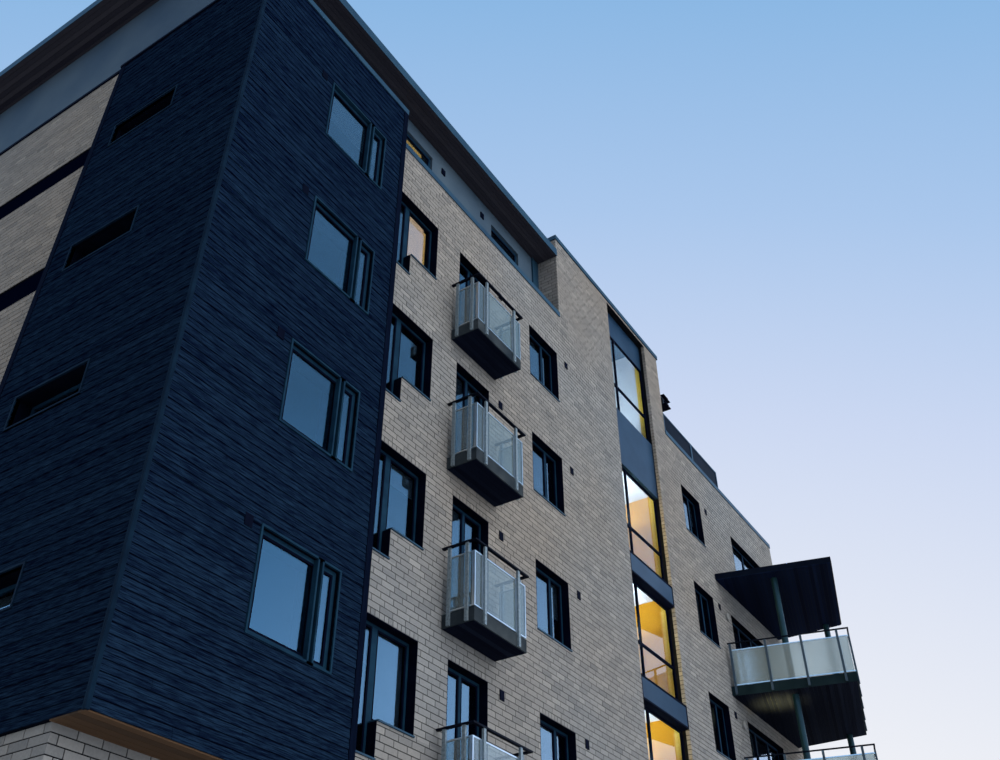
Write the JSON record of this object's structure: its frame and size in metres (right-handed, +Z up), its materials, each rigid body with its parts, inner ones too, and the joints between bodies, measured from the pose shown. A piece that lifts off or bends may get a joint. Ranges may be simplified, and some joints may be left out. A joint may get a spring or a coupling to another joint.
{
  "type": "apartment block",
  "caption": "Brick apartment block with a dark timber corner bay, glazed stair tower, glass-railed balconies, skewed corner balconies and a set-back top storey.",
  "frame": {"origin": "middle of the brick block's footprint at ground level", "axes": "+Z up, +X along the street front to the right, +Y from the street front into the block"},
  "size_m": [25.33, 14.6361, 21.415],
  "materials": {
    "aluminium_edge": "satin aluminium edge profile",
    "blue_panel": "blue-grey coated spandrel panel",
    "brick": "matte grey-beige brick with recessed joints",
    "brown_boards": "brown boarded soffit",
    "clear_glass": "clear glass",
    "concrete": "plain cast concrete",
    "dark_boards": "dark boarded soffit and roof edge",
    "dark_frame": "dark teal coated window frame",
    "dark_panel": "dark coated sheet panel",
    "dark_rail": "dark coated handrail",
    "dark_sheet_metal": "dark teal coated sheet metal",
    "dark_steel": "dark coated steel",
    "dark_timber": "near-black stained rough-sawn horizontal boards",
    "frosted_glass": "frosted glass",
    "galvanised_steel": "galvanised steel",
    "light_panel": "light grey facade panels",
    "orange_paint": "orange painted steel handrail",
    "stair_wall_paint": "painted plaster, warm yellow-orange",
    "white_plaster": "white painted concrete",
    "window_glass": "clear double glazing"
  },
  "bodies": {
    "root": {"back_floors": "concrete", "balcony_glass": "clear_glass", "balcony_panel_frames": "aluminium_edge", "balcony_posts": "galvanised_steel", "balcony_rails": "dark_rail", "balcony_slabs": "concrete", "bay_floors": "concrete", "bay_front_wall": "dark_timber", "bay_side_walls": "dark_timber", "bay_soffit": "brown_boards", "corner_balcony_glass": "frosted_glass", "corner_canopy": "dark_boards", "corner_columns": "dark_steel", "entrance_doors": "dark_frame", "front_wall_lower": "brick", "front_wall_upper": "brick", "ground_floor": "concrete", "left_wall": "brick", "main_floors": "concrete", "parapet_copings": "dark_sheet_metal", "penthouse_front_wall": "light_panel", "penthouse_rear_wall": "light_panel", "penthouse_roof": "dark_boards", "penthouse_side_walls": "light_panel", "rear_wall": "brick", "side_band_boards": "dark_timber", "stair_flights": "white_plaster", "stair_handrails": "orange_paint", "stair_landings": "white_plaster", "stair_rear_wall": "stair_wall_paint", "stair_side_walls": "stair_wall_paint", "stair_spandrels": "blue_panel", "stair_treads": "white_plaster", "stair_window_frames": "dark_frame", "stair_window_glass": "clear_glass", "terrace_rail_frame": "dark_steel", "terrace_rail_panels": "dark_panel", "tower_cap": "dark_sheet_metal", "tower_front_wall": "brick", "tower_rear_wall": "brick", "tower_side_walls": "brick", "wall_lamps": "dark_steel", "wall_vents": "dark_sheet_metal", "window_frames": "dark_frame", "window_glass": "window_glass", "window_sills": "dark_sheet_metal", "wing_end_wall": "brick", "wing_floors": "concrete", "wing_front_wall": "brick"}
  },
  "joints": []
}
